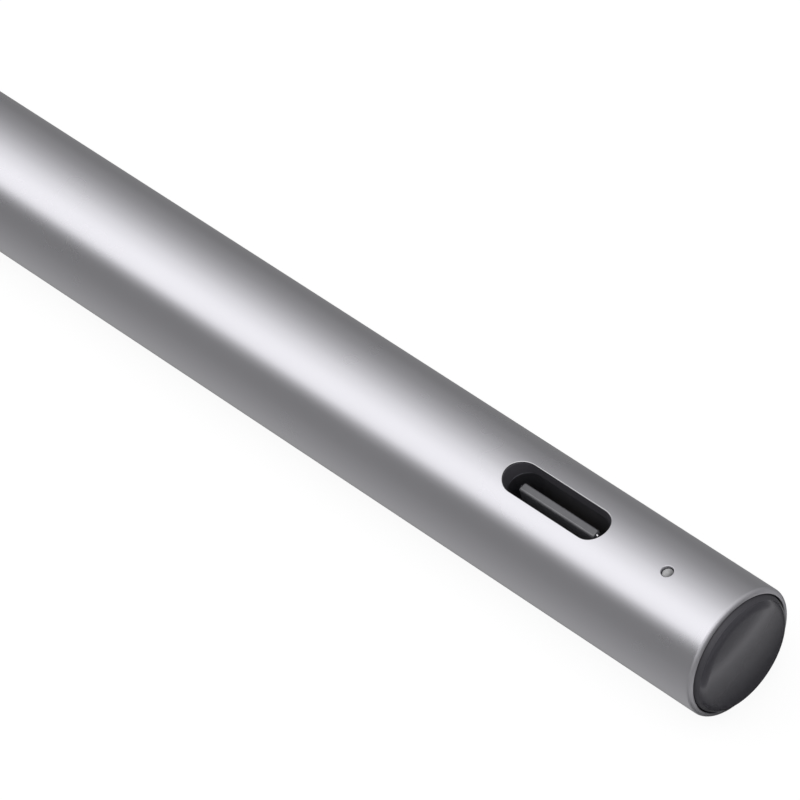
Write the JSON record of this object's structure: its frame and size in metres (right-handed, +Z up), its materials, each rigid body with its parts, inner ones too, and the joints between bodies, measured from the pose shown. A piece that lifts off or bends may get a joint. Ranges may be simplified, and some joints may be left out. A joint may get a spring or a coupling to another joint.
{
  "type": "stylus pen",
  "caption": "Round aluminium stylus pen with a side charging port and status light, a domed push cap in its tail, side keys, a tapered nose and a sprung, replaceable nib.",
  "frame": {"origin": "centre of the underside of the bounding box, half way along the pen as it lies on a table", "axes": "+X along the pen to the tip, +Z up through the charging port, status light and side keys, +Y across"},
  "size_m": [0.15, 0.0094, 0.0097],
  "materials": {
    "barrel": "bead-blasted and anodised, satin silver grey",
    "nose": "fine matt moulded dark grey",
    "cap": "satin dark grey, softly glossy",
    "key": "fine matt moulded dark grey",
    "nib": "hard black acetal, faintly worn at the point",
    "carbon": "conductive carbon filled rod",
    "liner": "matt black moulded",
    "tongue": "moulded, light catching on its front edge",
    "port_steel": "drawn stainless sheet",
    "gold": "gold plated",
    "brass": "turned",
    "steel": "turned and brushed",
    "spring": "bright spring wire",
    "screw": "zinc plated",
    "sensor": "nickel plated can",
    "switch": "tin plated cover",
    "pin": "natural nylon",
    "bush": "black acetal",
    "rubber": "soft black silicone",
    "foam": "closed cell foam",
    "carrier": "glass filled nylon",
    "board": "green solder mask",
    "chip": "moulded epoxy",
    "ceramic": "fired ceramic with tinned ends",
    "cell": "drawn can",
    "sleeve": "blue shrink sleeve",
    "lead": "silicone insulated wire",
    "strip": "amber polyimide",
    "lens": "frosted clear light guide"
  },
  "bodies": {
    "barrel": {"barrel_tube": "barrel", "nose_cone": "nose", "nose_coupler": "brass", "nib_spring": "spring", "force_sensor": "sensor", "force_pad": "rubber", "sensor_carrier": "carrier", "tilt_ring": "gold", "tilt_wire": "gold", "front_chassis": "carrier", "main_board": "board", "controller_chip": "chip", "radio_chip": "chip", "driver_chip": "chip", "motion_sensor": "chip", "clock_crystal": "steel", "board_aerial": "ceramic", "board_passives": "ceramic", "board_screws": "screw", "key_frame": "liner", "key_switches": "switch", "battery_cell": "cell", "battery_sleeve": "sleeve", "battery_board": "board", "battery_leads": "lead", "rear_foam_pad": "foam", "front_foam_pad": "foam", "link_strip": "strip", "rear_chassis": "carrier", "port_board": "board", "charge_chip": "chip", "port_passives": "ceramic", "port_shell": "port_steel", "port_base": "liner", "port_tongue": "tongue", "port_contacts": "gold", "port_mid_plate": "port_steel", "port_liner": "liner", "light_lens": "lens", "light_chip": "ceramic", "tail_strip": "strip", "tail_spring": "spring", "tail_bush": "bush", "tail_switch": "switch", "tail_switch_board": "board"},
    "tail_button": {"tail_cap": "cap", "tail_clip": "spring", "tail_switch_pin": "pin"},
    "upper_key_body": {"upper_key": "key", "upper_switch_pin": "pin"},
    "lower_key_body": {"lower_key": "key", "lower_switch_pin": "pin"},
    "nib_carriage": {"nib_holder": "steel"},
    "nib_body": {"nib": "nib", "nib_core": "carbon"}
  },
  "joints": [
    {"name": "tail_press", "type": "slide", "parent": "barrel", "child": "tail_button", "axis": [1, 0, 0], "range_m": [0, 0.0004], "stiffness_N_per_m": 4000, "springref_m": -0.0002, "deforming": ["tail_spring"]},
    {"name": "upper_key_press", "type": "slide", "parent": "barrel", "child": "upper_key_body", "axis": [0, 0, -1], "range_m": [0, 0.00025], "stiffness_N_per_m": 5000, "springref_m": -0.0001},
    {"name": "lower_key_press", "type": "slide", "parent": "barrel", "child": "lower_key_body", "axis": [0, 0, -1], "range_m": [0, 0.00025], "stiffness_N_per_m": 5000, "springref_m": -0.0001},
    {"name": "nib_press", "type": "slide", "parent": "barrel", "child": "nib_carriage", "axis": [-1, 0, 0], "range_m": [0, 0.0004], "stiffness_N_per_m": 6000, "springref_m": -0.0001, "deforming": ["nib_spring"]},
    {"name": "nib_pull", "type": "slide", "parent": "nib_carriage", "child": "nib_body", "axis": [1, 0, 0], "range_m": [0, 0.008]}
  ]
}
